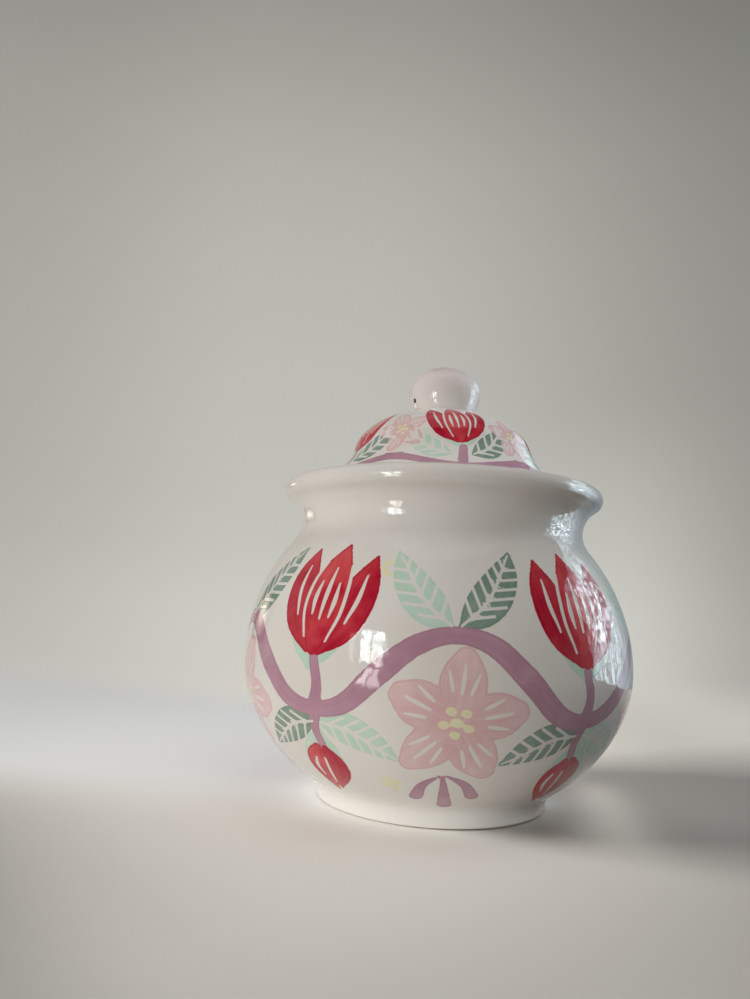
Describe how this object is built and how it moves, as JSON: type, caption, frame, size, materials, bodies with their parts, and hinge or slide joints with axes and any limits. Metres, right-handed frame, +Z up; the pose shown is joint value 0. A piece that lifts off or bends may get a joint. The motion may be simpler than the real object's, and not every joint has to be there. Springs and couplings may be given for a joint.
{
  "type": "honey pot",
  "caption": "Round-bellied glazed earthenware honey pot on a foot ring, with a rolled lip, a drop-in domed lid with a locating ring, and a ball knob.",
  "frame": {"origin": "middle of the foot ring's flat underside, on the pot's axis", "axes": "+Z up along the pot's turning axis, +X and +Y across, the pot being round"},
  "size_m": [0.11, 0.11, 0.1265],
  "materials": {
    "painted_glaze": "gloss clear glaze over hand-painted off-white earthenware",
    "plain_glaze": "gloss clear glaze over off-white earthenware",
    "foot_glaze": "gloss clear glaze, wiped off to bare clay on the resting face"
  },
  "bodies": {
    "pot": {"pot_body": "painted_glaze", "foot_ring": "foot_glaze"},
    "lid": {"lid": "painted_glaze", "locating_ring": "plain_glaze", "knob": "plain_glaze"}
  },
  "joints": [
    {"name": "lid_lift", "type": "slide", "parent": "pot", "child": "lid", "axis": [0, 0, 1], "range_m": [0, 0.1]}
  ]
}
